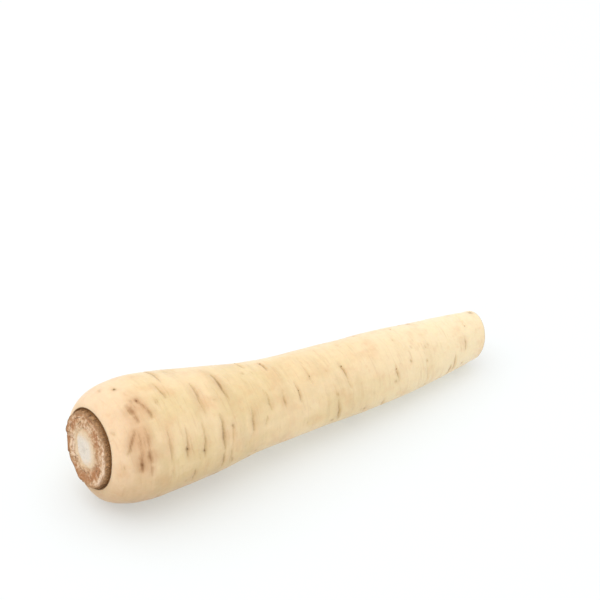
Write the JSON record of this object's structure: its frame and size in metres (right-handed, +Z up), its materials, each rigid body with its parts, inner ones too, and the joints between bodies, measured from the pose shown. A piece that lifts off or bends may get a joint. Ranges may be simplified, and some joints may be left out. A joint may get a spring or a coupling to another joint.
{
  "type": "parsnip",
  "caption": "Trimmed raw parsnip lying on its side: tapering cream root with ring creases, a cut crown with a collar of leaf bases, and a sliced tip.",
  "frame": {"origin": "middle of the bounding box at its lowest level, on the surface that the root lies on", "axes": "+X runs along the root from the cut crown to the cut tip, +Y to its left, +Z up"},
  "size_m": [0.2232, 0.0584, 0.0564],
  "materials": {
    "skin": "satin, pale cream-yellow root skin with tan creases"
  },
  "bodies": {
    "root": {"parsnip": "skin"}
  },
  "joints": []
}
